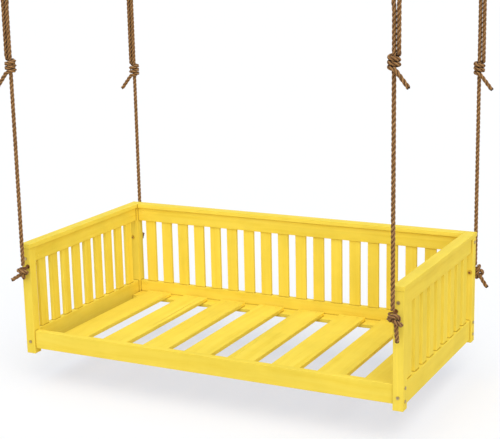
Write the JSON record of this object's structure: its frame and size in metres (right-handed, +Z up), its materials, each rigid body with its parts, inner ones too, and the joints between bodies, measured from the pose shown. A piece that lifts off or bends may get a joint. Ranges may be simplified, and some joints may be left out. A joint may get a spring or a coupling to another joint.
{
  "type": "hanging swing bed",
  "caption": "Slatted day bed with a picket back and ends and an open front, hung from the ceiling by knotted ropes at its corners, so that it swings.",
  "frame": {"origin": "the middle of the four ceiling plates, on the ceiling", "axes": "+X along the bed to its right, +Y from the open front to the picket back, +Z up"},
  "size_m": [2.1642, 1.25, 2],
  "materials": {
    "painted_wood": "satin paint",
    "rope": "natural fibre",
    "steel": "satin",
    "painted_steel": "satin paint over the screws' heads and the barrel nuts' ends"
  },
  "bodies": {
    "ceiling": {"ceiling_plate_front_left": "steel", "ceiling_plate_front_right": "steel", "ceiling_plate_back_left": "steel", "ceiling_plate_back_right": "steel", "ceiling_pins": "steel"},
    "hanger_front_left": {"hanger_front_left": "steel"},
    "hanger_front_right": {"hanger_front_right": "steel"},
    "hanger_back_left": {"hanger_back_left": "steel"},
    "hanger_back_right": {"hanger_back_right": "steel"},
    "rope_front_left": {"rope_front_left": "rope", "hitch_front_left": "rope"},
    "rope_front_right": {"rope_front_right": "rope", "hitch_front_right": "rope", "knot_front_right": "rope"},
    "rope_back_left": {"rope_back_left": "rope", "hitch_back_left": "rope", "knot_back_left": "rope"},
    "rope_back_right": {"rope_back_right": "rope", "hitch_back_right": "rope", "knot_back_right": "rope"},
    "knot_front_left": {"knot_front_left": "rope"},
    "bed": {"post_front_left": "painted_wood", "post_front_right": "painted_wood", "post_back_left": "painted_wood", "post_back_right": "painted_wood", "top_rail_left": "painted_wood", "top_rail_right": "painted_wood", "top_rail_back": "painted_wood", "bottom_rail_left": "painted_wood", "bottom_rail_right": "painted_wood", "bottom_rail_back": "painted_wood", "front_rail": "painted_wood", "cap_left": "painted_wood", "cap_right": "painted_wood", "cap_back": "painted_wood", "pickets_left": "painted_wood", "pickets_right": "painted_wood", "pickets_back": "painted_wood", "ledger_front": "painted_wood", "ledger_back": "painted_wood", "slat_1": "painted_wood", "slat_2": "painted_wood", "slat_3": "painted_wood", "slat_4": "painted_wood", "slat_5": "painted_wood", "slat_6": "painted_wood", "slat_7": "painted_wood", "slat_8": "painted_wood", "slat_screws": "painted_steel", "rail_bolts": "steel", "barrel_nuts": "painted_steel", "eye_bolts": "steel", "eye_bolt_nuts": "steel"}
  },
  "joints": [
    {"name": "swing_fore_aft", "type": "hinge", "parent": "ceiling", "child": "hanger_front_left", "pos_m": [-0.978, -0.58, -0.04], "axis": [1, 0, 0], "range_deg": [-10, 6]},
    {"name": "swing_front_right", "type": "hinge", "parent": "ceiling", "child": "hanger_front_right", "pos_m": [0.978, -0.58, -0.04], "axis": [1, 0, 0], "range_deg": [-10, 6]},
    {"name": "swing_back_left", "type": "hinge", "parent": "ceiling", "child": "hanger_back_left", "pos_m": [-1.002, 0.58, -0.04], "axis": [1, 0, 0], "range_deg": [-10, 6]},
    {"name": "swing_back_right", "type": "hinge", "parent": "ceiling", "child": "hanger_back_right", "pos_m": [1.002, 0.58, -0.04], "axis": [1, 0, 0], "range_deg": [-10, 6]},
    {"name": "swing_sideways", "type": "hinge", "parent": "hanger_front_left", "child": "rope_front_left", "pos_m": [-0.978, -0.58, -0.1], "axis": [0, 1, 0], "range_deg": [-8, 8]},
    {"name": "sway_front_right", "type": "hinge", "parent": "hanger_front_right", "child": "rope_front_right", "pos_m": [0.978, -0.58, -0.1], "axis": [0, 1, 0], "range_deg": [-8, 8]},
    {"name": "sway_back_left", "type": "hinge", "parent": "hanger_back_left", "child": "rope_back_left", "pos_m": [-1.002, 0.58, -0.1], "axis": [0, 1, 0], "range_deg": [-8, 8]},
    {"name": "sway_back_right", "type": "hinge", "parent": "hanger_back_right", "child": "rope_back_right", "pos_m": [1.002, 0.58, -0.1], "axis": [0, 1, 0], "range_deg": [-8, 8]},
    {"name": "knot_level", "type": "hinge", "parent": "rope_front_left", "child": "knot_front_left", "pos_m": [-0.978, -0.58, -1.54], "axis": [0, 1, 0], "range_deg": [-8, 8]},
    {"name": "bed_level", "type": "hinge", "parent": "knot_front_left", "child": "bed", "pos_m": [-0.978, -0.58, -1.54], "axis": [1, 0, 0], "range_deg": [-6, 10]}
  ],
  "couplings": [
    {"joint": "swing_front_right", "follows": "swing_fore_aft", "ratio": 1},
    {"joint": "swing_back_left", "follows": "swing_fore_aft", "ratio": 0.9454},
    {"joint": "swing_back_right", "follows": "swing_fore_aft", "ratio": 0.9454},
    {"joint": "bed_level", "follows": "swing_fore_aft", "ratio": -1},
    {"joint": "sway_front_right", "follows": "swing_sideways", "ratio": 1},
    {"joint": "sway_back_left", "follows": "swing_sideways", "ratio": 0.9443},
    {"joint": "sway_back_right", "follows": "swing_sideways", "ratio": 0.9443},
    {"joint": "knot_level", "follows": "swing_sideways", "ratio": -1}
  ]
}
